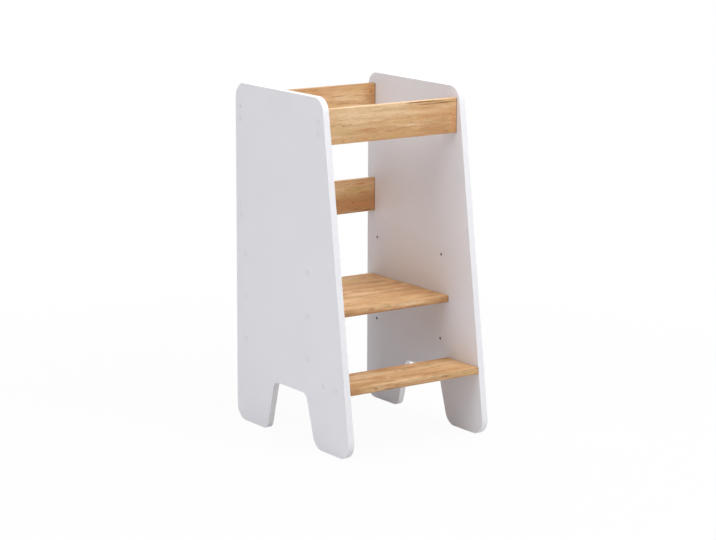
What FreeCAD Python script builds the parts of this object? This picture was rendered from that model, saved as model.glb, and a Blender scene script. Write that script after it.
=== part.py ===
import FreeCAD, Part
import math
import os

# A free-standing helper stool for a small child: two white side panels, joined by three
# oak-look rails, a standing platform that fits at three heights, and a lower step.
# Millimetres. X runs across the stool, Y from front to rear and Z up. The origin is on the
# floor, halfway across the stool and halfway between its round front toes and its rear edges.

# ------------------------------------------------------------------ side panels
HEIGHT = 900.0
WIDTH = 440.0              # over the outer faces of the panels
DEPTH_AT_FLOOR = 525.0     # rear edge to the front toe's corner, before that is rounded
DEPTH_AT_TOP = 400.0
BOARD = 18.0               # thickness of every board
OUTER_CORNER = 40.0        # corner radius at the top of the panels and on the feet
REAR_FOOT_CORNER = 22.0    # corner radius at the front of the rear foot alone
ARCH_CORNER = 20.0         # corner radius at the top of the arch between the feet
ARCH_HEIGHT = 135.0
REAR_FOOT = 145.0          # width of the rear foot at the floor
REAR_LEG = 180.0           # width of the rear leg at the top of the arch
FRONT_HEEL = 369.0         # rear edge of the panel to the heel of the front foot
FRONT_LEG = 327.0          # rear edge of the panel to the front leg, at the top of the arch

EDGING = 2.0               # thickness of the plastic edging on every board
ARRIS = 1.5                # rounding along both sides of the edging
FOOT_EDGING_TOP = 45.0     # the strip round each foot ends at this height

# ------------------------------------------------------------------ boards between the panels
# Depths are measured forwards from the rear edges of the panels.
RAIL_HEIGHT = 90.0
TOP_RAILS_BOTTOM = 780.0
MID_RAIL_BOTTOM = 523.0
REAR_INSET = 16.0          # the rear rails and the platform start here
FRONT_RAIL_BACK = 376.0
PLATFORM_TOP = 347.0
PLATFORM_DEPTH = 352.0
STEP_TOP = 180.0
STEP_BACK = 366.0
STEP_DEPTH = 134.0

# ------------------------------------------------------------------ fixings
RAIL_SCREW_SPACING = 32.0
STEP_SCREW_INSET = 40.0    # from the front and the back of the step
HOLE_COLUMN_SPACING = 288.0
REAR_HOLE_COLUMN = 46.0
HOLE_ROW_SPACING = 113.0   # between the three heights of the platform

# Both heads are countersunk at 90 degrees, with a rim above the cone and a hexagon socket.
HEAD_SUNK = 0.5            # below the outer face of the panel
HEAD_RIM = 0.8
SOCKET_WIDTH = 4.0         # across the flats
SOCKET_DEPTH = 3.0

# Connecting screw 7 x 50
SCREW_LENGTH = 50.0
SCREW_HEAD_RADIUS = 5.0
SCREW_NECK_RADIUS = 3.5
SCREW_THREAD_RADIUS = 3.0  # mean radius of the thread, as a plain shank
SCREW_TIP_RADIUS = 1.5
SCREW_TIP_LENGTH = 3.0

# Platform bolt M6 x 60 and the barrel nut that it turns into
BOLT_LENGTH = 60.0
BOLT_HEAD_RADIUS = 6.0
BOLT_RADIUS = 3.0
BOLT_HOLE_RADIUS = 3.5
BOLT_HOLE_DEPTH = 46.0     # in the end of the platform
NUT_RADIUS = 5.0
NUT_LENGTH = 14.0
NUT_FROM_END = 34.0        # end of the platform to the nut's middle
NUT_SLOT_WIDTH = 1.5
NUT_SLOT_DEPTH = 1.5

# Caps over the heads, and plugs in the holes that the platform doesn't use
CAP_RADIUS = 6.5
CAP_HEIGHT = 1.2
CAP_ROUNDING = 0.8
PEG_WIDTH = 3.8            # hexagon across the flats, in the socket of the head
PEG_LENGTH = 2.5
PLUG_STEM_LENGTH = 9.0
PLUG_WALL = 1.2

# ------------------------------------------------------------------ worked out from these
SLANT = math.atan((DEPTH_AT_FLOOR - DEPTH_AT_TOP) / HEIGHT)
TOE_ARC_START = DEPTH_AT_FLOOR - OUTER_CORNER * math.tan((math.pi / 2 + SLANT) / 2)
DEPTH = TOE_ARC_START + OUTER_CORNER
INNER_FACE = WIDTH / 2 - BOARD
STEP_FRONT = STEP_BACK + STEP_DEPTH
PLATFORM_MIDDLE = PLATFORM_TOP - BOARD / 2
NUT_BOTTOM = PLATFORM_MIDDLE - NUT_LENGTH / 2
FULL_TURN = 360
SIDES = {"left": -1, "right": 1}

# Corners of a side panel in order, before they are rounded: (depth, height, radius)
PANEL_CORNERS = [
    (0.0, 0.0, OUTER_CORNER),
    (0.0, HEIGHT, OUTER_CORNER),
    (DEPTH_AT_TOP, HEIGHT, OUTER_CORNER),
    (DEPTH_AT_FLOOR, 0.0, OUTER_CORNER),
    (FRONT_HEEL, 0.0, OUTER_CORNER),
    (FRONT_LEG, ARCH_HEIGHT, ARCH_CORNER),
    (REAR_LEG, ARCH_HEIGHT, ARCH_CORNER),
    (REAR_FOOT, 0.0, REAR_FOOT_CORNER),
]

# Each board between the panels: (back, front, bottom, top)
BOARDS = {
    "front_top_rail": (FRONT_RAIL_BACK, FRONT_RAIL_BACK + BOARD,
                       TOP_RAILS_BOTTOM, TOP_RAILS_BOTTOM + RAIL_HEIGHT),
    "rear_top_rail": (REAR_INSET, REAR_INSET + BOARD,
                      TOP_RAILS_BOTTOM, TOP_RAILS_BOTTOM + RAIL_HEIGHT),
    "rear_mid_rail": (REAR_INSET, REAR_INSET + BOARD,
                      MID_RAIL_BOTTOM, MID_RAIL_BOTTOM + RAIL_HEIGHT),
    "platform": (REAR_INSET, REAR_INSET + PLATFORM_DEPTH, PLATFORM_TOP - BOARD, PLATFORM_TOP),
    "lower_step": (STEP_BACK, STEP_FRONT, STEP_TOP - BOARD, STEP_TOP),
}


def vector(x, y, z):
    return FreeCAD.Vector(x, y, z)


def along_x(start, length, radius):
    """Cylinder along +X from the plane X = start."""
    return Part.makeCylinder(radius, length, vector(start, 0, 0), vector(1, 0, 0))


def to_rear(depth):
    """Y of what lies this far in front of the rear edges of the panels."""
    return DEPTH / 2 - depth


# ------------------------------------------------------------------ places of the fixings
def rail_screw_places(name):
    """Two screws above each other at the end of a rail, as (depth, height)."""
    back, front, bottom, top = BOARDS[name]
    middle = (bottom + top) / 2
    return [((back + front) / 2, middle + step * RAIL_SCREW_SPACING / 2) for step in (-1, 1)]


def step_screw_places():
    middle = STEP_TOP - BOARD / 2
    return [(STEP_BACK + STEP_SCREW_INSET, middle), (STEP_FRONT - STEP_SCREW_INSET, middle)]


def hole_row(height):
    """The two holes of one height of the platform."""
    return [(REAR_HOLE_COLUMN, height), (REAR_HOLE_COLUMN + HOLE_COLUMN_SPACING, height)]


SCREW_PLACES = {
    "front_top_rail": rail_screw_places("front_top_rail"),
    "rear_top_rail": rail_screw_places("rear_top_rail"),
    "rear_mid_rail": rail_screw_places("rear_mid_rail"),
    "lower_step": step_screw_places(),
}
BOLT_PLACES = hole_row(PLATFORM_MIDDLE)
SPARE_PLACES = (hole_row(PLATFORM_MIDDLE - HOLE_ROW_SPACING)
                + hole_row(PLATFORM_MIDDLE + HOLE_ROW_SPACING))


# ------------------------------------------------------------------ fixings
def turned(profile):
    """Solid turned about the X axis from a closed profile of (place along X, radius)."""
    points = [vector(along, radius, 0) for along, radius in profile + profile[:1]]
    face = Part.Face(Part.makePolygon(points))
    return face.revolve(vector(0, 0, 0), vector(1, 0, 0), FULL_TURN)


def hexagon(width, start, length):
    """Hexagonal prism along +X from the plane X = start, of a width across the flats."""
    radius = width / math.sqrt(3)
    angles = [math.radians(corner * 60) for corner in range(7)]
    points = [vector(start, radius * math.sin(a), radius * math.cos(a)) for a in angles]
    return Part.Face(Part.makePolygon(points)).extrude(vector(length, 0, 0))


def head_profile(head_radius, shank_radius):
    """Profile of a countersunk head down to its shank, from the middle of its face."""
    cone_start = HEAD_SUNK + HEAD_RIM
    return [
        (HEAD_SUNK, 0.0), (HEAD_SUNK, head_radius), (cone_start, head_radius),
        (cone_start + head_radius - shank_radius, shank_radius),
    ]


def with_socket(blank):
    return blank.cut(hexagon(SOCKET_WIDTH, HEAD_SUNK, SOCKET_DEPTH))


def screw_blank():
    """Connecting screw without its socket: head, neck as far as the panel goes, and shank."""
    end = HEAD_SUNK + SCREW_LENGTH
    return turned(head_profile(SCREW_HEAD_RADIUS, SCREW_NECK_RADIUS) + [
        (BOARD, SCREW_NECK_RADIUS), (BOARD, SCREW_THREAD_RADIUS),
        (end - SCREW_TIP_LENGTH, SCREW_THREAD_RADIUS), (end, SCREW_TIP_RADIUS), (end, 0.0),
    ])


def screw_room():
    """What is bored out of the panel and the board for a connecting screw."""
    return screw_blank().fuse(along_x(0, HEAD_SUNK, SCREW_HEAD_RADIUS))


def bolt_blank():
    end = HEAD_SUNK + BOLT_LENGTH
    return turned(head_profile(BOLT_HEAD_RADIUS, BOLT_RADIUS) + [(end, BOLT_RADIUS), (end, 0.0)])


def bolt_room():
    """What is bored out for a platform bolt: a countersunk hole and a clear way to the nut."""
    end = BOARD + BOLT_HOLE_DEPTH
    hole = turned(head_profile(BOLT_HEAD_RADIUS, BOLT_HOLE_RADIUS)
                  + [(end, BOLT_HOLE_RADIUS), (end, 0.0)])
    return hole.fuse(along_x(0, HEAD_SUNK, BOLT_HEAD_RADIUS))


def cap_disc():
    """Round cap on the outer face of the panel, rounded towards the outside."""
    disc = along_x(-CAP_HEIGHT, CAP_HEIGHT, CAP_RADIUS)
    outer_rim = [edge for edge in disc.Edges if edge.BoundBox.XMax < -CAP_HEIGHT / 2]
    return disc.makeFillet(CAP_ROUNDING, outer_rim)


def cap():
    """Cap with the hexagonal peg that holds it in the socket of the head."""
    return cap_disc().fuse(hexagon(PEG_WIDTH, 0, PEG_LENGTH)).removeSplitter()


def plug():
    """Cap with the hollow stem that holds it in an unused hole."""
    stem = along_x(0, PLUG_STEM_LENGTH, BOLT_HOLE_RADIUS)
    hollow = along_x(0, PLUG_STEM_LENGTH, BOLT_HOLE_RADIUS - PLUG_WALL)
    return cap_disc().fuse(stem.cut(hollow)).removeSplitter()


def fitted(shape, side, places):
    """Copies of a fixing that points along +X, turned to point inwards from one panel."""
    copies = []
    for depth, height in places:
        copy = shape.copy()
        if side > 0:
            copy.rotate(vector(0, 0, 0), vector(0, 0, 1), FULL_TURN / 2)
        copy.translate(vector(side * WIDTH / 2, to_rear(depth), height))
        copies.append(copy)
    return copies


def on_both_sides(shape, places):
    return [copy for side in SIDES.values() for copy in fitted(shape, side, places)]


def nut_places():
    """X and Y of the middle of each barrel nut."""
    from_middle = INNER_FACE - NUT_FROM_END
    return [(side * from_middle, to_rear(depth))
            for side in SIDES.values() for depth, _ in BOLT_PLACES]


def barrel_nut(x, y):
    """Upright barrel with the bolt's hole through its middle and a slot in its lower end."""
    barrel = Part.makeCylinder(NUT_RADIUS, NUT_LENGTH, vector(x, y, NUT_BOTTOM))
    hole = Part.makeCylinder(BOLT_RADIUS, 2 * NUT_RADIUS,
                             vector(x - NUT_RADIUS, y, PLATFORM_MIDDLE), vector(1, 0, 0))
    slot = Part.makeBox(2 * NUT_RADIUS, NUT_SLOT_WIDTH, NUT_SLOT_DEPTH,
                        vector(x - NUT_RADIUS, y - NUT_SLOT_WIDTH / 2, NUT_BOTTOM))
    return barrel.cut(hole).cut(slot)


def nut_room(x, y):
    """Blind hole in the underside of the platform for a barrel nut."""
    underside = PLATFORM_TOP - BOARD
    return Part.makeCylinder(NUT_RADIUS, NUT_BOTTOM + NUT_LENGTH - underside,
                             vector(x, y, underside))


# ------------------------------------------------------------------ boards and their edging
def runs_across(edge):
    """True for an edge that runs through a board along X."""
    return edge.BoundBox.XLength > BOARD / 2


def panel_plate():
    """A whole side panel with its edging and round corners, standing on X = 0."""
    points = [vector(0, to_rear(depth), height) for depth, height, _ in PANEL_CORNERS]
    plate = Part.Face(Part.makePolygon(points + points[:1])).extrude(vector(BOARD, 0, 0))
    corners = [edge for edge in plate.Edges if runs_across(edge)]
    for point, (_, _, radius) in zip(points, PANEL_CORNERS):
        middle = point + vector(BOARD / 2, 0, 0)
        corner = min(corners, key=lambda edge: edge.CenterOfMass.distanceToPoint(middle))
        plate = plate.makeFillet(radius, [corner])
    return plate


def panel_core(plate):
    """The board inside the edging: the outline of the plate, drawn in all round."""
    side_face = next(face for face in plate.Faces
                     if isinstance(face.Surface, Part.Plane) and face.BoundBox.XMax < ARRIS)
    return side_face.makeOffset2D(-EDGING).extrude(vector(BOARD, 0, 0))


def below(shape, height):
    """The part of a panel's shape that lies below a height."""
    room = shape.BoundBox
    return shape.common(Part.makeBox(room.XLength, room.YLength, height - room.ZMin,
                                     vector(room.XMin, room.YMin, room.ZMin)))


def panel_pieces(side):
    """The bored core of one side panel and the strips of its edging, by name."""
    plate = panel_plate()
    core = panel_core(plate)
    outline = [edge for edge in plate.Edges if not runs_across(edge)]
    ring = plate.makeFillet(ARRIS, outline).cut(core)
    feet = below(ring, FOOT_EDGING_TOP)
    front_foot, rear_foot = sorted(feet.Solids, key=lambda strip: strip.BoundBox.YMin)
    arch, outer = sorted(ring.cut(feet).Solids, key=lambda strip: strip.BoundBox.ZMax)
    pieces = {
        "side_panel": core,
        "panel_edging": outer,
        "arch_edging": arch,
        "front_foot_edging": front_foot,
        "rear_foot_edging": rear_foot,
    }
    for piece in pieces.values():
        piece.translate(vector(INNER_FACE if side > 0 else -WIDTH / 2, 0, 0))
    pieces["side_panel"] = core.cut(all_bores(side))
    return pieces


def all_bores(side):
    """Everything that is bored through or into the boards from the outside of one panel."""
    rooms = fitted(bolt_room(), side, BOLT_PLACES + SPARE_PLACES)
    for places in SCREW_PLACES.values():
        rooms += fitted(screw_room(), side, places)
    return rooms


def board_pieces(name):
    """The core of a board between the panels, and the two strips on its long edges."""
    back, front, bottom, top = BOARDS[name]
    corner = vector(-INNER_FACE, to_rear(front), bottom)
    whole = Part.makeBox(2 * INNER_FACE, front - back, top - bottom, corner)
    rounded = whole.makeFillet(ARRIS, [edge for edge in whole.Edges if runs_across(edge)])
    if top - bottom > front - back:
        inset = vector(0, 0, EDGING)
    else:
        inset = vector(0, EDGING, 0)
    core = Part.makeBox(2 * INNER_FACE, front - back - 2 * inset.y, top - bottom - 2 * inset.z,
                        corner + inset)
    return core, rounded.cut(core)


# ------------------------------------------------------------------ the whole stool
def build():
    """Every piece of the stool by name; what repeats in one node stays separate solids."""
    nodes = {}
    for side_name, side in SIDES.items():
        for piece_name, shape in panel_pieces(side).items():
            nodes[f"{side_name}_{piece_name}"] = shape
        heads = BOLT_PLACES + [place for places in SCREW_PLACES.values() for place in places]
        nodes[f"{side_name}_screw_caps"] = Part.makeCompound(fitted(cap(), side, heads))
        nodes[f"{side_name}_hole_plugs"] = Part.makeCompound(fitted(plug(), side, SPARE_PLACES))

    for name in BOARDS:
        nodes[name], nodes[f"{name}_edging"] = board_pieces(name)
    screw = with_socket(screw_blank())
    for name, places in SCREW_PLACES.items():
        nodes[name] = nodes[name].cut(on_both_sides(screw_room(), places))
        nodes[f"{name}_screws"] = Part.makeCompound(on_both_sides(screw, places))

    nut_rooms = [nut_room(x, y) for x, y in nut_places()]
    nodes["platform"] = nodes["platform"].cut(on_both_sides(bolt_room(), BOLT_PLACES) + nut_rooms)
    bolt = with_socket(bolt_blank())
    nodes["platform_bolts"] = Part.makeCompound(on_both_sides(bolt, BOLT_PLACES))
    nuts = [barrel_nut(x, y) for x, y in nut_places()]
    nodes["platform_barrel_nuts"] = Part.makeCompound(nuts)
    return nodes


os.makedirs("parts", exist_ok=True)
for node_name, node_shape in build().items():
    solids = node_shape.Solids
    print(f"{node_name}: {len(solids)} solid(s), {sum(s.Volume for s in solids) / 1000:.1f} cm3")
    node_shape.exportStep(f"parts/{node_name}.step")
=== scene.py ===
"""Looks of a toddler's kitchen helper stool: white laminated side panels and oak-look boards.

Lengths are in metres in the stool's own frame: X to the right, Y to the rear, Z up, with the
origin on the floor under its middle. Colours are given as a screen shows them, 0 to 255.
"""

import logging
import math
from dataclasses import dataclass, field
from enum import Enum

import bpy
from mathutils import Matrix, Vector


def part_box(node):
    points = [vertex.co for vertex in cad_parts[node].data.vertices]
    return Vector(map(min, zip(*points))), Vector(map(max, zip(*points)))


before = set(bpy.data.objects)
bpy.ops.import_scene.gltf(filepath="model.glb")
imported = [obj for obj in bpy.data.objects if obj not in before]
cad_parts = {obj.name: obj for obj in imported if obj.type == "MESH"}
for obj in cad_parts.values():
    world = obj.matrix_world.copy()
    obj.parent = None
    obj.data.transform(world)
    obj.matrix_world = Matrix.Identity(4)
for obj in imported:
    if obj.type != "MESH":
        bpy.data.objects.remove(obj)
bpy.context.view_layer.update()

LOG = logging.getLogger("helper_stool")
MM = 0.001
THROUGH = 10000.0          # reach that takes a mark right through a board, in millimetres
EDGE_REACH = 5.0           # how far a mark on a front edge runs back into it, in millimetres
NOISE_SPREAD = (0.3, 0.7)  # where nearly all values of a noise lie
LOW_HALF = (0.5, 0.3)      # from the middle of a noise down to its lowest values
HIGH_HALF = (0.5, 0.7)     # from the middle of a noise up to its highest values
FACING_SHARE = 0.5         # part of a normal along an axis from which a face looks along it
WHITE = (1.0, 1.0, 1.0, 1.0)

Colour = tuple[float, float, float, float]
Socket = bpy.types.NodeSocket
Value = Socket | float


def screen(red: float, green: float, blue: float) -> Colour:
    """Turns a colour as a screen shows it into the linear one that a shader takes.

    Args:
        red: Red, 0 to 255.
        green: Green, 0 to 255.
        blue: Blue, 0 to 255.

    Returns:
        The linear colour, with an alpha of 1.
    """
    def linear(channel: float) -> float:
        """Turns one channel into its linear value."""
        share = channel / 255
        return share / 12.92 if share <= 0.04045 else ((share + 0.055) / 1.055) ** 2.4

    return linear(red), linear(green), linear(blue), 1.0


class Facing(Enum):
    """The axis that the laminated faces of a board look along."""

    ACROSS = "X"
    FRONT = "Y"
    UP = "Z"


# ---------------------------------------------------------------------- node bench
class Bench:
    """The node tree of one material, with short calls that add its nodes and join them."""

    def __init__(self, name: str) -> None:
        """Makes an empty material with one Principled shader.

        Args:
            name: Name of the material.
        """
        self.material = bpy.data.materials.new(name)
        self.material.use_nodes = True
        self.tree = self.material.node_tree
        self.shader = self.tree.nodes["Principled BSDF"]
        self.place = self.add("TexCoord").outputs["Object"]
        self.normal = self.add("TexCoord").outputs["Normal"]

    def add(self, kind: str, inputs: dict | None = None, **settings: object) -> bpy.types.Node:
        """Adds a node.

        Args:
            kind: Node type without the words ShaderNode.
            inputs: What each input takes, by name or number.
            settings: Properties of the node.

        Returns:
            The new node.
        """
        node = self.tree.nodes.new(f"ShaderNode{kind}")
        for name, setting in settings.items():
            setattr(node, name, setting)
        for key, value in (inputs or {}).items():
            self.feed(node.inputs[key], value)
        return node

    def feed(self, socket: Socket, value: object) -> None:
        """Joins a node's output to a socket, or sets the socket to a constant.

        Args:
            socket: The socket that is fed.
            value: A node's output, or a number, vector or colour.
        """
        if isinstance(value, bpy.types.NodeSocket):
            self.tree.links.new(value, socket)
        else:
            socket.default_value = value

    def set(self, **inputs: object) -> None:
        """Feeds the shader's inputs, with underscores for the spaces in their names."""
        for name, value in inputs.items():
            self.feed(self.shader.inputs[name.replace("_", " ")], value)

    def math(self, operation: str, first: Value, second: Value = 0.0) -> Socket:
        """One step of arithmetic on two values."""
        return self.add("Math", {0: first, 1: second}, operation=operation).outputs[0]

    def mapped(self, value: Value, low: float, high: float,
               to_low: float = 0.0, to_high: float = 1.0, smooth: bool = True) -> Socket:
        """Spreads the stretch from low to high over another stretch, and clamps the rest.

        Args:
            value: What is mapped.
            low: Start of its stretch.
            high: End of its stretch.
            to_low: What low becomes.
            to_high: What high becomes.
            smooth: Whether the change eases in and out.

        Returns:
            The mapped value.
        """
        inputs = {"Value": value, "From Min": low, "From Max": high,
                  "To Min": to_low, "To Max": to_high}
        kind = "SMOOTHSTEP" if smooth else "LINEAR"
        return self.add("MapRange", inputs, interpolation_type=kind).outputs["Result"]

    def mix(self, share: Value, first: object, second: object) -> Socket:
        """Mixes two colours.

        Args:
            share: Share of the second colour.
            first: First colour.
            second: Second colour.

        Returns:
            The mixed colour.
        """
        node = self.add("Mix", {0: share, 6: first, 7: second}, data_type="RGBA")
        return node.outputs[2]

    def stretched(self, scale: tuple[float, float, float],
                  offset: tuple[float, float, float] = (0.0, 0.0, 0.0)) -> Socket:
        """The place on the piece, stretched along each axis for a pattern.

        Args:
            scale: Repeats per metre along X, Y and Z.
            offset: Shift of the pattern, in repeats.

        Returns:
            The vector for a texture.
        """
        inputs = {"Vector": self.place, "Scale": scale, "Location": offset}
        return self.add("Mapping", inputs).outputs["Vector"]

    def noise(self, vector: Socket, detail: float = 2.0, roughness: float = 0.5,
              distortion: float = 0.0) -> Socket:
        """Soft noise about one half, one repeat to a unit of the vector.

        Args:
            vector: Where the noise is read.
            detail: How many finer layers it has.
            roughness: How much the finer layers weigh.
            distortion: How much it is warped.

        Returns:
            The noise, 0 to 1.
        """
        inputs = {"Vector": vector, "Scale": 1.0, "Detail": detail, "Roughness": roughness,
                  "Distortion": distortion}
        return self.add("TexNoise", inputs).outputs["Fac"]

    def faces(self, facing: Facing) -> Socket:
        """Tells the faces that look along an axis from the faces beside them.

        Args:
            facing: The axis.

        Returns:
            1 on the faces that look along it, 0 on the others.
        """
        axes = self.add("SeparateXYZ", {0: self.normal})
        along = self.math("ABSOLUTE", axes.outputs[facing.value])
        return self.math("GREATER_THAN", along, FACING_SHARE)

    def bump(self, height: Socket, depth: float) -> None:
        """Raises the surface by a height of 0 to 1 times a depth in metres."""
        node = self.add("Bump", {"Height": height, "Distance": depth, "Strength": 1.0})
        self.set(Normal=node.outputs["Normal"])


# ---------------------------------------------------------------------- finishes
@dataclass(frozen=True)
class ParticleCore:
    """Pressed wood chips, which show inside bored holes and on raw ends; their own colour, kept
    darker as painted shade for the inside of the holes.
    """

    # both tones are darkened as painted shade for the inside of the bored holes
    light: Colour = screen(158, 136, 112)
    dark: Colour = screen(92, 74, 56)
    chips_per_metre: float = 420.0

    def colour(self, bench: Bench) -> Socket:
        """Colours the chips, each in a tone of its own.

        Args:
            bench: The material's bench.

        Returns:
            The colour.
        """
        scale = (self.chips_per_metre,) * 3
        inputs = {"Vector": bench.stretched(scale), "Scale": 1.0, "Randomness": 1.0}
        chips = bench.add("TexVoronoi", inputs).outputs["Color"]
        tone = bench.add("SeparateXYZ", {0: chips}).outputs["X"]
        return bench.mix(tone, self.dark, self.light)


@dataclass(frozen=True)
class WhiteLaminate:
    """White melamine paper on board: fine satin grain and faint pressing marks."""

    colour: Colour = screen(239, 238, 243)
    shade: Colour = screen(237, 236, 241)
    roughness: tuple[float, float] = (0.42, 0.5)
    clouds_per_metre: float = 5.0
    grains_per_metre: float = 1100.0
    grain_depth: float = 0.012 * MM
    core: ParticleCore = ParticleCore()

    def material(self, name: str, facing: Facing) -> bpy.types.Material:
        """Makes the finish of a white board.

        Args:
            name: Name of the material.
            facing: The axis that the laminated faces look along.

        Returns:
            The material, with the chips of the core on all other faces.
        """
        bench = Bench(name)
        clouds = bench.noise(bench.stretched((self.clouds_per_metre,) * 3), detail=4.0)
        white = bench.mix(bench.mapped(clouds, *NOISE_SPREAD), self.colour, self.shade)
        laminated = bench.faces(facing)
        grain = bench.noise(bench.stretched((self.grains_per_metre,) * 3), detail=3.0)
        bench.set(
            Base_Color=bench.mix(laminated, self.core.colour(bench), white),
            Roughness=bench.mapped(grain, *NOISE_SPREAD, *self.roughness),
        )
        bench.bump(grain, self.grain_depth)
        return bench.material


@dataclass(frozen=True)
class WhitePlastic:
    """Moulded or extruded white plastic with a fine satin skin."""

    colour: Colour = screen(244, 244, 247)
    shade: Colour = screen(240, 240, 244)
    roughness: tuple[float, float] = (0.4, 0.48)
    gloss: float = 0.2
    scale: tuple[float, float, float] = (300.0, 60.0, 60.0)
    depth: float = 0.008 * MM

    def material(self, name: str) -> bpy.types.Material:
        """Makes the finish of a white plastic piece.

        Args:
            name: Name of the material.

        Returns:
            The material.
        """
        bench = Bench(name)
        streaks = bench.noise(bench.stretched(self.scale), detail=3.0)
        bench.set(
            Base_Color=bench.mix(bench.mapped(streaks, *NOISE_SPREAD), self.colour, self.shade),
            Roughness=bench.mapped(streaks, *NOISE_SPREAD, *self.roughness),
            Specular_IOR_Level=self.gloss,
        )
        bench.bump(streaks, self.depth)
        return bench.material


class Tone(Enum):
    """The colours that a mark in the oak decor can have."""

    PALE = "pale"
    TAN = "tan"
    RUSSET = "russet"
    BROWN = "brown"
    DARK = "dark"


@dataclass(frozen=True)
class Mark:
    """A flame, streak, knot or split in the decor, or a line of painted shade or painted
    highlight along an edge, at a place of its own.

    Attributes:
        place: Middle of the mark, in millimetres.
        reach: Half its length along X, Y and Z, in millimetres.
        tone: Its colour.
        strength: How much of that colour shows, 0 to 1.
    """

    place: tuple[float, float, float]
    reach: tuple[float, float, float]
    tone: Tone
    strength: float


@dataclass(frozen=True)
class Oak:
    """Oak decor with its grain along X: tone bands, growth lines, streaks, pores and marks.

    Attributes:
        pale, golden, brown, dark, tan, russet: The colours of the wood.
        bands: Repeats per metre of the broad bands of tone along X, Y and Z, as for all below.
        band_spread: Values of their noise that are palest and brownest.
        veins: Repeats per metre of the veins.
        lines_per_metre: Growth lines across the grain.
        line_length: Their repeats along the grain, as a share of those across it.
        line_scale: Size of the pattern that they are drawn in.
        line_waver: How much they waver.
        line_spread: Values of that pattern between which a line sets in.
        streaks, pores, flecks, clouds: Repeats per metre of each.
        streak_spread, pore_spread, fleck_spread: Values of noise between which each sets in.
        rag: Repeats per metre of the noise that frays the marks.
        fray: How far it frays them, in units of their reach.
        mark_fade: Where a mark begins and where it is full, in units of its reach.
        offset: Stretch of the decor that the board is cut from.
        darkening: How far the bands of tone are shifted towards brown.
        pale_veins to fleck_share: How strongly each pattern shows, 0 to 1.
        roughness: Roughness beside the pores and in them.
        gloss: Specular level.
        pore_depth: Depth of the pores.
        joint_shade_edge: Where the painted shade at the board's ends sets in and is full, from
            the middle; it is a dark line that stands in for the contact shadow where the board
            butts on the panels.
        joint_shade_share: How dark that painted shade is.
        marks: The board's own flames, streaks, knots and splits, and its lines of painted shade
            and painted highlight along the edges.
    """

    pale: Colour = screen(238, 206, 165)
    golden: Colour = screen(218, 176, 129)
    brown: Colour = screen(192, 145, 101)
    dark: Colour = screen(112, 76, 44)
    tan: Colour = screen(206, 172, 114)
    russet: Colour = screen(208, 143, 95)
    bands: tuple[float, float, float] = (1.8, 22.0, 22.0)
    band_spread: tuple[float, float] = (0.28, 0.78)
    veins: tuple[float, float, float] = (5.0, 64.0, 64.0)
    lines_per_metre: float = 95.0
    line_length: float = 0.05
    line_scale: float = 0.35
    line_waver: float = 3.5
    line_spread: tuple[float, float] = (0.2, 1.0)
    streaks: tuple[float, float, float] = (10.0, 260.0, 260.0)
    pores: tuple[float, float, float] = (80.0, 1900.0, 1900.0)
    flecks: tuple[float, float, float] = (45.0, 420.0, 420.0)
    clouds: tuple[float, float, float] = (9.0, 26.0, 26.0)
    streak_spread: tuple[float, float] = (0.48, 0.72)
    pore_spread: tuple[float, float] = (0.56, 0.68)
    fleck_spread: tuple[float, float] = (0.66, 0.76)
    rag: tuple[float, float, float] = (26.0, 340.0, 340.0)
    fray: float = 0.55
    mark_fade: tuple[float, float] = (1.15, 0.1)
    offset: tuple[float, float, float] = (0.0, 0.0, 0.0)
    darkening: float = 0.0
    pale_veins: float = 0.3
    brown_veins: float = 0.3
    cloud_share: float = 0.35
    growth_share: float = 0.2
    streak_share: float = 0.34
    pore_share: float = 0.35
    fleck_share: float = 0.4
    roughness: tuple[float, float] = (0.52, 0.64)
    gloss: float = 0.08
    pore_depth: float = 0.03 * MM
    # painted shade: a dark line at each end of the board, standing in for the contact shadow
    # where it butts on the panels
    joint_shade_edge: tuple[float, float] = (198.5 * MM, 202.0 * MM)
    joint_shade_share: float = 0.7
    marks: tuple[Mark, ...] = ()

    def tone(self, bench: Bench) -> Socket:
        """Broad bands of pale, golden and brown wood, 0 to 1 from pale to brown."""
        broad = bench.noise(bench.stretched(self.bands, self.offset),
                            detail=3.0, roughness=0.55, distortion=0.4)
        return bench.mapped(broad, *(value - self.darkening for value in self.band_spread))

    def veined(self, bench: Bench, colour: Socket) -> Socket:
        """Adds pale and brown veins a centimetre or two wide.

        Args:
            bench: The material's bench.
            colour: Colour of the wood so far.

        Returns:
            The colour with the veins in it.
        """
        vein = bench.noise(bench.stretched(self.veins, self.offset),
                           detail=3.0, roughness=0.55)
        pale = bench.mapped(vein, *LOW_HALF, 0.0, self.pale_veins)
        brown = bench.mapped(vein, *HIGH_HALF, 0.0, self.brown_veins)
        return bench.mix(brown, bench.mix(pale, colour, self.pale), self.brown)

    def clouded(self, bench: Bench, colour: Socket) -> Socket:
        """Turns the colour a little to tan and to russet in broad clouds.

        Args:
            bench: The material's bench.
            colour: Colour of the wood so far.

        Returns:
            The colour with the clouds in it.
        """
        cloud = bench.noise(bench.stretched(self.clouds, self.offset))
        tan = bench.mapped(cloud, *LOW_HALF, 0.0, self.cloud_share)
        russet = bench.mapped(cloud, *HIGH_HALF, 0.0, self.cloud_share)
        return bench.mix(russet, bench.mix(tan, colour, self.tan), self.russet)

    def growth(self, bench: Bench) -> Socket:
        """Growth lines that waver along the board.

        Args:
            bench: The material's bench.

        Returns:
            The lines, 0 to 1.
        """
        across = self.lines_per_metre
        scale = (across * self.line_length, across, across)
        inputs = {"Vector": bench.stretched(scale, self.offset), "Scale": self.line_scale,
                  "Distortion": self.line_waver, "Detail": 2.0, "Detail Scale": 0.6}
        wave = bench.add("TexWave", inputs, wave_type="BANDS", bands_direction="DIAGONAL")
        return bench.mapped(wave.outputs["Fac"], *self.line_spread)

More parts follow.
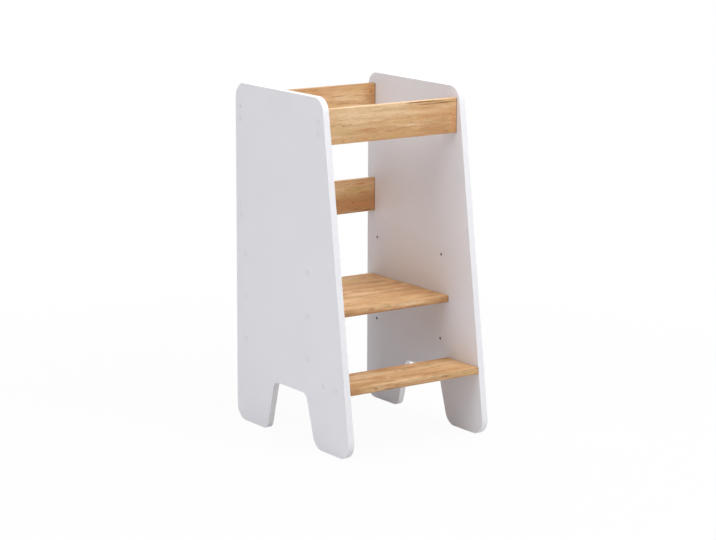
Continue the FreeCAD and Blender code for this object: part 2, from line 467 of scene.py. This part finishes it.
    def streak(self, bench: Bench) -> Socket:
        """Darker streaks a few millimetres wide, 0 to 1."""
        long_noise = bench.noise(bench.stretched(self.streaks, self.offset),
                                 detail=4.0, roughness=0.6)
        return bench.mapped(long_noise, *self.streak_spread)

    def pore(self, bench: Bench) -> Socket:
        """Fine open pores, 0 to 1."""
        fine = bench.noise(bench.stretched(self.pores, self.offset))
        return bench.mapped(fine, *self.pore_spread)

    def fleck(self, bench: Bench) -> Socket:
        """Short dark flecks scattered along the grain, 0 to 1."""
        short = bench.noise(bench.stretched(self.flecks, self.offset))
        return bench.mapped(short, *self.fleck_spread)

    def joint_shade(self, bench: Bench) -> Socket:
        """Painted shade at each end of the board, a dark line standing in for the contact shadow
        where it butts on the panels, 0 to 1.
        """
        across = bench.add("SeparateXYZ", {0: bench.place}).outputs["X"]
        return bench.mapped(bench.math("ABSOLUTE", across), *self.joint_shade_edge)

    def marked(self, bench: Bench, colour: Socket) -> Socket:
        """Adds the board's own flames, streaks, knots and splits, and its lines of painted shade
        and painted highlight along the edges.

        Args:
            bench: The material's bench.
            colour: Colour of the wood so far.

        Returns:
            The colour with the marks in it.
        """
        rag = bench.noise(bench.stretched(self.rag, self.offset), detail=4.0, roughness=0.6)
        rag = bench.mapped(rag, 0.25, 0.75, -self.fray, self.fray, smooth=False)
        for mark in self.marks:
            closer = tuple(1 / (half * MM) for half in mark.reach)
            shift = tuple(-at / half for at, half in zip(mark.place, mark.reach))
            local = bench.stretched(closer, shift)
            far = bench.add("VectorMath", {0: local}, operation="LENGTH").outputs["Value"]
            frayed = bench.math("ADD", far, rag)
            share = bench.mapped(frayed, *self.mark_fade, 0.0, mark.strength)
            colour = bench.mix(share, colour, getattr(self, mark.tone.value))
        return colour

    def colour(self, bench: Bench) -> tuple[Socket, Socket]:
        """Builds the colour of the wood.

        Args:
            bench: The material's bench.

        Returns:
            The colour, and the pores for the bump and the gloss.
        """
        tone = self.tone(bench)
        light_half = bench.mix(bench.mapped(tone, 0.0, 0.5), self.pale, self.golden)
        wood = bench.mix(bench.mapped(tone, 0.5, 1.0), light_half, self.brown)
        wood = self.marked(bench, self.clouded(bench, self.veined(bench, wood)))
        for pattern, share in ((self.growth(bench), self.growth_share),
                               (self.streak(bench), self.streak_share)):
            wood = bench.mix(bench.math("MULTIPLY", pattern, share), wood, self.brown)
        pore = self.pore(bench)
        # the last of these darkens each end of the board with painted shade where it butts on
        # the panels
        for pattern, share in ((pore, self.pore_share), (self.fleck(bench), self.fleck_share),
                               (self.joint_shade(bench), self.joint_shade_share)):
            wood = bench.mix(bench.math("MULTIPLY", pattern, share), wood, self.dark)
        return wood, pore


@dataclass(frozen=True)
class OakLaminate:
    """Oak-look melamine on board, with the chips of the core on its other faces."""

    oak: Oak = Oak()
    core: ParticleCore = ParticleCore()

    def material(self, name: str, facing: Facing) -> bpy.types.Material:
        """Makes the finish of an oak-look board.

        Args:
            name: Name of the material.
            facing: The axis that the laminated faces look along.

        Returns:
            The material.
        """
        bench = Bench(name)
        wood, pore = self.oak.colour(bench)
        bench.set(
            Base_Color=bench.mix(bench.faces(facing), self.core.colour(bench), wood),
            Roughness=bench.mapped(pore, 0.0, 1.0, *self.oak.roughness),
            Specular_IOR_Level=self.oak.gloss,
        )
        bench.bump(bench.math("SUBTRACT", 1.0, pore), self.oak.pore_depth)
        return bench.material


@dataclass(frozen=True)
class OakEdging:
    """Oak-look plastic edging, smoother than the laminate and with half as deep pores."""

    oak: Oak = Oak()
    roughness: tuple[float, float] = (0.38, 0.5)

    def material(self, name: str) -> bpy.types.Material:
        """Makes the finish of an oak-look edging strip.

        Args:
            name: Name of the material.

        Returns:
            The material.
        """
        bench = Bench(name)
        wood, pore = self.oak.colour(bench)
        bench.set(Base_Color=wood, Specular_IOR_Level=self.oak.gloss,
                  Roughness=bench.mapped(pore, 0.0, 1.0, *self.roughness))
        bench.bump(bench.math("SUBTRACT", 1.0, pore), self.oak.pore_depth / 2)
        return bench.material


@dataclass(frozen=True)
class ZincPlate:
    """Zinc-plated steel with a fine turned grain."""

    colour: Colour = screen(196, 197, 198)
    shade: Colour = screen(168, 168, 166)
    roughness: tuple[float, float] = (0.28, 0.42)
    grains_per_metre: float = 900.0

    def material(self, name: str) -> bpy.types.Material:
        """Makes the finish of the hidden steel fixings.

        Args:
            name: Name of the material.

        Returns:
            The material.
        """
        bench = Bench(name)
        grain = bench.noise(bench.stretched((self.grains_per_metre,) * 3), detail=3.0)
        bench.set(
            Metallic=1.0,
            Base_Color=bench.mix(bench.mapped(grain, *NOISE_SPREAD), self.colour, self.shade),
            Roughness=bench.mapped(grain, *NOISE_SPREAD, *self.roughness),
        )
        return bench.material


def dress(node: str, material: bpy.types.Material) -> None:
    """Gives a node of the frame its material in every slot.

    Args:
        node: Name of the node.
        material: The finish that it gets.
    """
    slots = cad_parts[node].data.materials
    slots.clear()
    slots.append(material)
    LOG.info("%s: %s", node, material.name)


# ---------------------------------------------------------------------- sub-assemblies
@dataclass
class SidePanel:
    """One white side panel with its edging, caps and plugs."""

    side: str
    laminate: WhiteLaminate = WhiteLaminate()
    edging: WhitePlastic = WhitePlastic()
    moulded: WhitePlastic = WhitePlastic(colour=screen(233, 233, 237),
                                         shade=screen(229, 229, 234), scale=(400.0,) * 3)
    strips: tuple[str, ...] = ("panel", "arch", "front_foot", "rear_foot")

    def dress(self) -> None:
        """Dresses the panel and everything that is fixed to it."""
        dress(f"{self.side}_side_panel",
              self.laminate.material(f"{self.side} white laminate", Facing.ACROSS))
        edging = self.edging.material(f"{self.side} white edging")
        for strip in self.strips:
            dress(f"{self.side}_{strip}_edging", edging)
        moulded = self.moulded.material(f"{self.side} moulded plastic")
        dress(f"{self.side}_screw_caps", moulded)
        dress(f"{self.side}_hole_plugs", moulded)


@dataclass
class OakBoard:
    """One oak-look board between the panels, with the edging on its two long edges."""

    node: str
    facing: Facing
    oak: Oak = Oak()

    def dress(self) -> None:
        """Dresses the board and its edging."""
        dress(self.node, OakLaminate(self.oak).material(f"{self.node} oak", self.facing))
        dress(f"{self.node}_edging", OakEdging(self.oak).material(f"{self.node} oak edging"))


@dataclass
class Fixings:
    """The steel screws, bolts and barrel nuts inside the boards."""

    zinc: ZincPlate = ZincPlate()
    nodes: tuple[str, ...] = (
        "front_top_rail_screws", "rear_top_rail_screws", "rear_mid_rail_screws",
        "lower_step_screws", "platform_bolts", "platform_barrel_nuts",
    )

    def dress(self) -> None:
        """Dresses every steel piece."""
        zinc = self.zinc.material("zinc plate")
        for node in self.nodes:
            dress(node, zinc)


# ---------------------------------------------------------------------- studio
@dataclass
class SoftLamp:
    """A large soft lamp that shines at the stool.

    Attributes:
        name: Name of the lamp.
        place: Where it hangs.
        size: Its width and height.
        power: Its power in watts.
        aim: The point that it shines at.
    """

    name: str
    place: tuple[float, float, float]
    size: tuple[float, float]
    power: float
    aim: tuple[float, float, float] = (0.0, 0.0, 0.45)

    def hang(self) -> None:
        """Makes the lamp and turns it to the stool."""
        lamp = bpy.data.lights.new(self.name, "AREA")
        lamp.shape = "RECTANGLE"
        lamp.size, lamp.size_y = self.size
        lamp.energy = self.power
        holder = bpy.data.objects.new(self.name, lamp)
        holder.location = self.place
        direction = Vector(self.aim) - Vector(self.place)
        holder.rotation_euler = direction.to_track_quat("-Z", "Y").to_euler()
        holder.visible_camera = False
        bpy.context.scene.collection.objects.link(holder)


@dataclass
class Studio:
    """Pale floor, soft light and the camera at the photograph's view.

    Attributes:
        floor_size: Side of the square floor.
        floor_clouds_per_metre: Repeats of its faint cloudy finish.
        floor_roughness: Roughness in the clouds and beside them.
        floor_colour: Its colour under the lamps.
        floor_white: How much of it is plain white to the eye, near the stool and far off.
        floor_fade: Distances from the stool between which that changes.
        world_colour: Colour of the even light all round.
        world_strength: Strength of that light.
        camera_aim: The point in the middle of the view.
        camera_distance: Distance of the camera from that point.
        camera_azimuth: Turn to the right of the front, in degrees.
        camera_elevation: Height above the level, in degrees.
        camera_roll: Tilt of the picture, in degrees.
        camera_lens: Focal length in millimetres.
        camera_sensor: Width of the sensor in millimetres.
        lamps: The soft lamps.
    """

    floor_size: float = 40.0
    floor_clouds_per_metre: float = 3.0
    floor_roughness: tuple[float, float] = (0.9, 1.0)
    floor_colour: Colour = screen(222, 222, 224)
    floor_white: tuple[float, float] = (0.945, 1.0)
    floor_fade: tuple[float, float] = (0.7, 2.2)
    world_colour: Colour = WHITE
    world_strength: float = 0.1
    camera_aim: tuple[float, float, float] = (-0.0111, 0.0004, 0.4207)
    camera_distance: float = 6.1262
    camera_azimuth: float = -35.077
    camera_elevation: float = 11.71
    camera_roll: float = 0.217
    camera_lens: float = 118.62
    camera_sensor: float = 36.0
    lamps: tuple[SoftLamp, ...] = field(default_factory=lambda: (
        SoftLamp("top lamp", (0.0, 0.0, 4.0), (3.0, 3.0), 48.0),
        SoftLamp("upper front lamp", (0.5, -2.5, 3.2), (2.5, 2.5), 92.0),
        SoftLamp("upper left lamp", (-2.5, -1.0, 3.2), (2.5, 2.5), 24.0),
        SoftLamp("left lamp", (-4.0, -0.2, 1.6), (2.4, 2.5), 42.5),
        SoftLamp("upper right lamp", (3.0, 0.8, 3.0), (2.5, 2.5), 32.0),
        SoftLamp("right lamp", (4.0, 0.8, 0.9), (3.0, 1.4), 24.0),
        SoftLamp("upper rear lamp", (0.5, 3.0, 3.4), (2.5, 2.5), 40.0),
    ))

    def seen(self, bench: Bench) -> Socket:
        """Tells the rays that show the surface itself, in the view or in a reflection.

        Args:
            bench: The material's bench.

        Returns:
            1 for those rays, 0 for the rays that light other things.
        """
        path = bench.add("LightPath")
        shiny = bench.math("MAXIMUM", path.outputs["Is Glossy Ray"],
                           path.outputs["Is Transmission Ray"])
        return bench.math("MAXIMUM", path.outputs["Is Camera Ray"], shiny)

    def lay_floor(self) -> None:
        """Makes the pale floor, which shows nearly white and keeps the stool's shadow."""
        bpy.ops.object.select_all(action="DESELECT")
        bpy.ops.mesh.primitive_plane_add(size=self.floor_size)
        floor = bpy.context.object
        floor.name = "floor"
        bench = Bench("pale floor")
        clouds = bench.noise(bench.stretched((self.floor_clouds_per_metre,) * 3))
        bench.set(Base_Color=self.floor_colour, Specular_IOR_Level=0.0,
                  Roughness=bench.mapped(clouds, *NOISE_SPREAD, *self.floor_roughness))
        glow = bench.add("Emission", {"Color": WHITE, "Strength": 1.0})
        away = bench.add("VectorMath", {0: bench.place}, operation="LENGTH").outputs["Value"]
        white = bench.mapped(away, *self.floor_fade, *self.floor_white)
        share = bench.math("MULTIPLY", self.seen(bench), white)
        both = bench.add("MixShader", {0: share, 1: bench.shader.outputs[0], 2: glow.outputs[0]})
        out = bench.tree.nodes["Material Output"]
        bench.feed(out.inputs["Surface"], both.outputs[0])
        floor.data.materials.append(bench.material)

    def light_world(self) -> None:
        """Makes the even light all round, and the white background that the camera sees."""
        world = bpy.data.worlds.new("studio")
        world.use_nodes = True
        bpy.context.scene.world = world
        tree = world.node_tree
        light = tree.nodes["Background"]
        light.inputs["Color"].default_value = self.world_colour
        light.inputs["Strength"].default_value = self.world_strength
        white = tree.nodes.new("ShaderNodeBackground")
        white.inputs["Color"].default_value = WHITE
        path = tree.nodes.new("ShaderNodeLightPath")
        share = path.outputs["Is Camera Ray"]
        for name in ("Is Glossy Ray", "Is Transmission Ray"):
            either = tree.nodes.new("ShaderNodeMath")
            either.operation = "MAXIMUM"
            tree.links.new(share, either.inputs[0])
            tree.links.new(path.outputs[name], either.inputs[1])
            share = either.outputs[0]
        mixed = tree.nodes.new("ShaderNodeMixShader")
        tree.links.new(share, mixed.inputs[0])
        tree.links.new(light.outputs[0], mixed.inputs[1])
        tree.links.new(white.outputs[0], mixed.inputs[2])
        tree.links.new(mixed.outputs[0], tree.nodes["World Output"].inputs["Surface"])

    def place_camera(self) -> None:
        """Places the camera where the photograph was taken from."""
        azimuth = math.radians(self.camera_azimuth)
        elevation = math.radians(self.camera_elevation)
        back = Vector((math.sin(azimuth) * math.cos(elevation),
                       -math.cos(azimuth) * math.cos(elevation), math.sin(elevation)))
        camera = bpy.data.cameras.new("camera")
        camera.lens = self.camera_lens
        camera.sensor_width = self.camera_sensor
        holder = bpy.data.objects.new("camera", camera)
        holder.location = Vector(self.camera_aim) + back * self.camera_distance
        turn = (-back).to_track_quat("-Z", "Y").to_matrix().to_4x4()
        turn @= Matrix.Rotation(math.radians(self.camera_roll), 4, "Z")
        holder.rotation_euler = turn.to_euler()
        bpy.context.scene.collection.objects.link(holder)
        bpy.context.scene.camera = holder

    def build(self) -> None:
        """Makes the floor, the light and the camera."""
        self.lay_floor()
        self.light_world()
        for lamp in self.lamps:
            lamp.hang()
        self.place_camera()
        bpy.context.scene.view_settings.view_transform = "Standard"
        LOG.info("studio: floor, world, %d lamps and camera", len(self.lamps))


# ---------------------------------------------------------------------- the whole stool
def front_of(node: str) -> float:
    """Place of a board's front edge along Y, in millimetres."""
    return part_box(node)[0][1] / MM


def rail_mark(x: float, z: float, long: float, high: float, tone: Tone,
              strength: float) -> Mark:
    """A mark that goes right through a rail, with its place and reach in millimetres."""
    return Mark((x, 0.0, z), (long, THROUGH, high), tone, strength)


def top_mark(x: float, y: float, long: float, wide: float, tone: Tone,
             strength: float) -> Mark:
    """A mark that goes right through the platform or the step, in millimetres."""
    return Mark((x, y, 0.0), (long, wide, THROUGH), tone, strength)


def edge_mark(x: float, y: float, z: float, long: float, high: float, tone: Tone,
              strength: float) -> Mark:
    """A mark on the front edge of the platform or the step, in millimetres."""
    return Mark((x, y, z), (long, EDGE_REACH, high), tone, strength)


def front_rail_marks() -> tuple[Mark, ...]:
    """Pale wood along the top, brown flames below, splits under the top edge and knots.

    Returns:
        The marks.
    """
    return (
        rail_mark(-120, 850, 140, 36, Tone.PALE, 0.95),
        rail_mark(20, 849, 90, 24, Tone.PALE, 0.6),
        rail_mark(152, 849, 34, 9, Tone.PALE, 0.5),
        rail_mark(150, 798, 110, 30, Tone.BROWN, 0.85),
        rail_mark(-62, 807, 90, 13, Tone.BROWN, 0.8),
        rail_mark(-82, 809, 36, 6, Tone.RUSSET, 0.6),
        rail_mark(14, 805, 80, 8, Tone.BROWN, 0.9),
        rail_mark(-20, 790, 150, 8, Tone.BROWN, 0.4),
        rail_mark(-12, 790, 22, 6, Tone.TAN, 0.8),
        rail_mark(-150, 808, 32, 9, Tone.TAN, 0.5),
        rail_mark(105, 794, 40, 1.8, Tone.BROWN, 0.9),
        rail_mark(150, 816, 44, 8, Tone.BROWN, 0.3),
        rail_mark(60, 856, 30, 7, Tone.RUSSET, 0.3),
        rail_mark(-27, 858, 12, 4, Tone.RUSSET, 0.35),
        rail_mark(191, 812, 9, 28, Tone.RUSSET, 0.75),
        rail_mark(-176, 846, 8, 24, Tone.RUSSET, 0.2),
        rail_mark(-172, 793, 40, 3, Tone.RUSSET, 0.5),
        rail_mark(82, 867.4, 52, 2.2, Tone.DARK, 1.0),
        rail_mark(142, 866.4, 40, 1.9, Tone.DARK, 0.9),
        rail_mark(108, 860.6, 36, 1.8, Tone.DARK, 0.9),
        rail_mark(162, 861.4, 36, 1.8, Tone.DARK, 0.95),
        rail_mark(-151, 825, 6, 2.2, Tone.DARK, 0.6),
        rail_mark(-163, 830, 10, 1.6, Tone.BROWN, 0.7),
        rail_mark(-152, 788, 5, 2.6, Tone.DARK, 0.45),
        rail_mark(-100, 801, 5, 4, Tone.DARK, 0.4),
        rail_mark(-85, 788, 14, 2, Tone.RUSSET, 0.8),
        rail_mark(50, 832, 8, 3, Tone.BROWN, 0.6),
        rail_mark(181, 830, 6, 2.4, Tone.DARK, 0.6),
        rail_mark(157, 820, 4, 5, Tone.BROWN, 0.6),
        rail_mark(168, 787, 16, 3, Tone.DARK, 0.5),
    )


def rear_rail_marks() -> tuple[Mark, ...]:
    """A pale band along the top, brown streaks below it, knots at the right end and painted
    shade along the top arris.

    Returns:
        The marks.
    """
    return (
        rail_mark(4, 862, 24, 8, Tone.RUSSET, 0.8),
        rail_mark(-40, 859, 30, 12, Tone.BROWN, 0.4),
        rail_mark(112, 862, 48, 8, Tone.PALE, 0.25),
        rail_mark(118, 860, 14, 5, Tone.RUSSET, 0.4),
        rail_mark(86, 843, 24, 1.7, Tone.BROWN, 1.0),
        rail_mark(150, 841, 38, 2, Tone.BROWN, 0.8),
        rail_mark(120, 834, 56, 4, Tone.PALE, 0.3),
        rail_mark(96, 822, 34, 4, Tone.BROWN, 0.8),
        rail_mark(150, 819, 30, 3, Tone.BROWN, 0.7),
        rail_mark(60, 832, 14, 16, Tone.TAN, 0.6),
        rail_mark(190, 840, 34, 90, Tone.BROWN, 0.95),
        rail_mark(186, 850, 9, 14, Tone.RUSSET, 0.8),
        rail_mark(188, 849, 4, 3, Tone.DARK, 0.7),
        rail_mark(-110, 815, 90, 14, Tone.BROWN, 0.4),
        # painted shade along the top arris of the rail
        rail_mark(0, 870, 420, 3, Tone.BROWN, 0.9),
        rail_mark(150, 870, 120, 2.5, Tone.DARK, 0.3),
    )


def mid_rail_marks() -> tuple[Mark, ...]:
    """Tan wood with russet streaks above, brown wood below, and painted shade along the top and
    bottom arrises.

    Returns:
        The marks.
    """
    return (
        rail_mark(120, 597, 130, 28, Tone.PALE, 0.45),
        rail_mark(142, 587, 60, 12, Tone.TAN, 0.9),
        rail_mark(112, 602, 18, 3, Tone.TAN, 0.8),
        rail_mark(155, 601, 36, 3.4, Tone.RUSSET, 1.0),
        rail_mark(165, 576, 26, 5, Tone.RUSSET, 0.7),
        rail_mark(130, 540, 220, 38, Tone.BROWN, 1.0),
        rail_mark(150, 545, 90, 22, Tone.RUSSET, 0.5),
        rail_mark(130, 551, 5, 2.2, Tone.DARK, 0.6),
        rail_mark(146, 531, 24, 2.2, Tone.DARK, 0.6),
        rail_mark(180, 527, 26, 2, Tone.DARK, 0.6),
        rail_mark(-80, 590, 120, 12, Tone.BROWN, 0.4),
        # painted shade along the top arris, shaded by the panels and the front rail, and along
        # the bottom arris, which faces down
        rail_mark(0, 613, 420, 3, Tone.BROWN, 0.9),
        rail_mark(0, 523, 420, 2.6, Tone.DARK, 0.7),
    )


def platform_marks() -> tuple[Mark, ...]:
    """Knots down the right side, brown streaks at the rear, pale bands to the front, a painted
    highlight along the top of the front edge and painted shade along its bottom.

    Returns:
        The marks.
    """
    front = front_of("platform_edging")
    return (
        top_mark(96, 182, 44, 34, Tone.TAN, 0.95),
        top_mark(158, 208, 26, 16, Tone.RUSSET, 0.35),
        top_mark(90, 146, 120, 26, Tone.BROWN, 1.0),
        top_mark(140, 134, 40, 14, Tone.DARK, 0.45),
        top_mark(182, 90, 20, 15, Tone.DARK, 0.6),
        top_mark(150, 88, 60, 20, Tone.BROWN, 0.6),
        top_mark(33, 66, 16, 11, Tone.BROWN, 1.0),
        top_mark(96, 52, 16, 13, Tone.BROWN, 0.9),
        top_mark(160, 62, 16, 9, Tone.RUSSET, 0.8),
        top_mark(40, 30, 90, 18, Tone.PALE, 0.7),
        top_mark(146, 34, 34, 12, Tone.PALE, 0.6),
        top_mark(90, -6, 130, 14, Tone.BROWN, 0.35),
        top_mark(187, -10, 12, 10, Tone.DARK, 0.3),
        top_mark(166, -29, 15, 11, Tone.RUSSET, 0.6),
        top_mark(188, -54, 14, 12, Tone.DARK, 0.55),
        top_mark(8, -32, 8, 5, Tone.BROWN, 0.8),
        top_mark(33, -33, 8, 5, Tone.BROWN, 0.8),
        top_mark(79, -37, 8, 5, Tone.BROWN, 0.7),
        top_mark(-20, -58, 60, 20, Tone.RUSSET, 0.35),
        top_mark(-75, -76, 14, 11, Tone.TAN, 0.7),
        top_mark(-18, -83, 32, 5, Tone.BROWN, 0.9),
        top_mark(65, -79, 10, 5, Tone.BROWN, 0.6),
        top_mark(124, -60, 60, 12, Tone.PALE, 0.5),
        top_mark(-20, -97, 130, 8, Tone.PALE, 0.45),
        top_mark(162, -90, 24, 7, Tone.RUSSET, 0.6),
        # painted highlight along the top arris of the front edge
        edge_mark(0, front, 344, 160, 5, Tone.PALE, 0.6),
        edge_mark(78, front, 340, 72, 8, Tone.PALE, 1.0),
        edge_mark(-105, front, 341, 24, 5, Tone.TAN, 0.4),
        edge_mark(-46, front, 341, 14, 4, Tone.BROWN, 1.0),
        edge_mark(-118, front, 335, 18, 5, Tone.DARK, 0.5),
        edge_mark(-12, front, 337, 14, 6, Tone.RUSSET, 0.4),
        edge_mark(7, front, 342, 12, 6, Tone.TAN, 0.7),
        edge_mark(88, front, 334, 26, 2.0, Tone.BROWN, 0.8),
        edge_mark(158, front, 344, 12, 5, Tone.RUSSET, 0.8),
        edge_mark(182, front, 337, 36, 14, Tone.BROWN, 1.0),
        edge_mark(181, front, 332, 10, 3, Tone.DARK, 0.7),
        # painted shade along the bottom of the front edge, where the arris faces down
        edge_mark(30, front, 330, 400, 8, Tone.BROWN, 0.8),
        edge_mark(90, front, 329, 400, 4, Tone.DARK, 0.6),
    )


def step_marks() -> tuple[Mark, ...]:
    """A pale band, small knots, streaks along the front and knots on the front edge, with a
    painted highlight along its top and painted shade along its bottom.

    Returns:
        The marks.
    """
    front = front_of("lower_step_edging")
    return (
        top_mark(-110, -107, 60, 4, Tone.DARK, 0.4),
        top_mark(-90, -115, 34, 5, Tone.BROWN, 0.5),
        top_mark(-20, -116, 24, 8, Tone.RUSSET, 0.5),
        top_mark(-5, -130, 38, 7, Tone.BROWN, 0.6),
        top_mark(45, -137, 34, 5, Tone.DARK, 0.5),
        top_mark(60, -141, 18, 5, Tone.RUSSET, 0.9),
        top_mark(-100, -150, 110, 23, Tone.PALE, 1.0),
        top_mark(80, -158, 110, 8, Tone.PALE, 0.8),
        top_mark(1, -153, 6, 7, Tone.BROWN, 0.9),
        top_mark(160, -160, 30, 14, Tone.RUSSET, 0.25),
        top_mark(68, -179, 20, 6, Tone.DARK, 0.5),
        top_mark(108, -172, 18, 9, Tone.TAN, 0.8),
        top_mark(98, -192, 20, 7, Tone.RUSSET, 0.8),
        top_mark(-20, -181, 10, 6, Tone.BROWN, 0.7),
        top_mark(-64, -185, 14, 6, Tone.BROWN, 0.7),
        top_mark(-82, -189, 20, 9, Tone.RUSSET, 0.4),
        top_mark(-120, -200, 60, 9, Tone.PALE, 0.5),
        top_mark(-53, -194, 8, 7, Tone.PALE, 0.7),
        top_mark(92, -211, 26, 3.4, Tone.DARK, 0.5),
        top_mark(120, -198, 60, 5, Tone.PALE, 0.5),
        top_mark(130, -206, 34, 12, Tone.RUSSET, 0.3),
        top_mark(-66, -225, 44, 3.4, Tone.DARK, 0.6),
        top_mark(-126, -219, 22, 4, Tone.BROWN, 0.5),
        top_mark(-98, -227, 14, 4, Tone.TAN, 0.7),
        top_mark(-12, -225, 18, 3.2, Tone.DARK, 0.5),
        top_mark(76, -228, 20, 3.4, Tone.DARK, 0.75),
        top_mark(143, -221, 14, 4, Tone.DARK, 0.5),
        top_mark(178, -124, 26, 12, Tone.BROWN, 0.5),
        top_mark(-90, -237, 90, 5, Tone.PALE, 0.8),
        top_mark(20, -237, 60, 4, Tone.PALE, 0.6),
        # painted highlight along the top arris of the front edge
        edge_mark(0, front, 176, 220, 4.4, Tone.PALE, 0.6),
        edge_mark(-132, front, 174, 18, 5, Tone.RUSSET, 0.6),
        edge_mark(-124, front, 170.6, 11, 3.4, Tone.DARK, 0.7),
        edge_mark(-86, front, 175, 18, 4, Tone.RUSSET, 0.9),
        edge_mark(-60, front, 171.6, 16, 4.4, Tone.BROWN, 1.0),
        edge_mark(-58, front, 171, 5, 2, Tone.DARK, 0.5),
        edge_mark(-76, front, 165, 32, 3, Tone.DARK, 0.5),
        edge_mark(32, front, 170, 26, 3, Tone.RUSSET, 0.5),
        edge_mark(95, front, 172, 20, 3.2, Tone.DARK, 0.6),
        edge_mark(95, front, 168, 12, 3, Tone.RUSSET, 0.5),
        edge_mark(170, front, 170, 20, 5, Tone.TAN, 0.6),
        edge_mark(120, front, 164, 110, 3, Tone.BROWN, 0.5),
        # painted shade along the bottom arris of the front edge, which faces down
        edge_mark(0, front, 162, 420, 4, Tone.DARK, 0.5),
    )


def top_oak(offset: tuple[float, float, float], marks: tuple[Mark, ...]) -> Oak:
    """Makes the decor of a board that lies flat, with a broader and stronger figure.

    Args:
        offset: Stretch of the decor that the board is cut from.
        marks: The board's own marks.

    Returns:
        The decor.
    """
    return Oak(offset=offset, marks=marks, darkening=0.09, veins=(12.0, 34.0, 64.0),
               streaks=(10.0, 110.0, 260.0), flecks=(40.0, 120.0, 420.0), pale_veins=0.62,
               brown_veins=0.7, streak_share=0.6, fleck_share=0.6)


def oak_boards() -> list[OakBoard]:
    """Makes the five oak-look boards, each with its own stretch of the decor.

    Returns:
        The boards, from the top down.
    """
    return [
        OakBoard("front_top_rail", Facing.FRONT,
                 Oak(offset=(0.3, 2.1, 0.0), marks=front_rail_marks())),
        OakBoard("rear_top_rail", Facing.FRONT,
                 Oak(offset=(5.2, 0.0, 3.7), marks=rear_rail_marks())),
        OakBoard("rear_mid_rail", Facing.FRONT,
                 Oak(offset=(8.8, 4.0, 1.3), marks=mid_rail_marks())),
        OakBoard("platform", Facing.UP, top_oak((2.4, 7.5, 0.6), platform_marks())),
        OakBoard("lower_step", Facing.UP, top_oak((6.1, 1.2, 9.0), step_marks())),
    ]


def main() -> None:
    """Dresses every piece of the stool and sets up the studio."""
    logging.basicConfig(level=logging.INFO, format="%(name)s: %(message)s")
    for side in ("left", "right"):
        SidePanel(side).dress()
    for board in oak_boards():
        board.dress()
    Fixings().dress()
    Studio().build()


if __name__ == "__main__":
    main()
